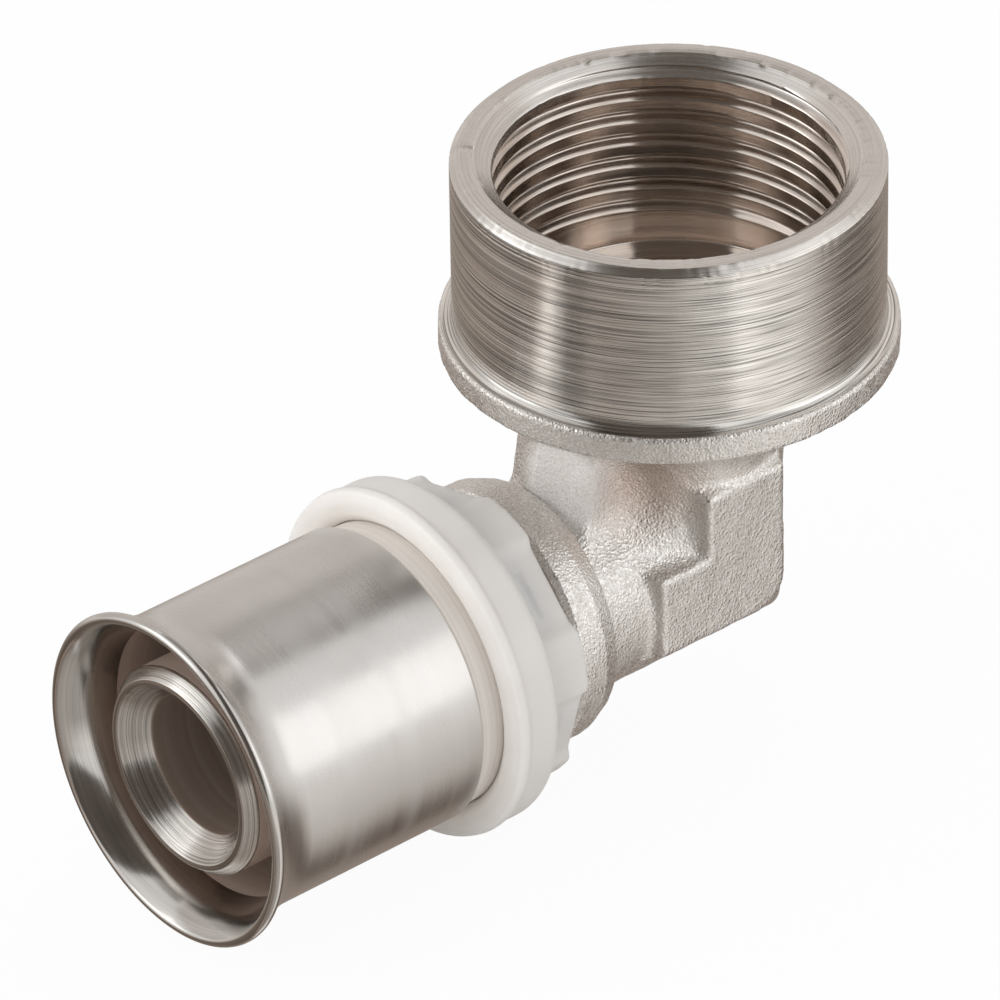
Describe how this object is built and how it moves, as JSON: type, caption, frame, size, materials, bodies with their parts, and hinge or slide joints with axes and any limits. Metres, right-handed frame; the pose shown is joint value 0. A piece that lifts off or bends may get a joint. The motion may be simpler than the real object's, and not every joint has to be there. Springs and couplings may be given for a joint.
{
  "type": "female threaded press elbow",
  "caption": "Right angle pipe fitting with a female threaded socket and a press end with steel sleeve and plastic stop ring for multilayer pipe.",
  "frame": {"origin": "centre of the threaded socket where the thread starts, 1 mm below the face of its mouth", "axes": "+Z out of the socket along its axis, the press end points to -X along its own axis 30.1 mm below, and Y is across"},
  "size_m": [0.0616, 0.032, 0.0442],
  "materials": {
    "plated_brass": "nickel plated, turned and blasted",
    "sleeve_steel": "satin",
    "ring_plastic": "milky, slightly see-through",
    "seal_rubber": "matte"
  },
  "bodies": {
    "root": {"elbow_body": "plated_brass", "press_sleeve": "sleeve_steel", "stop_ring": "ring_plastic", "seal_front_ring": "seal_rubber", "seal_back_ring": "seal_rubber"}
  },
  "joints": []
}
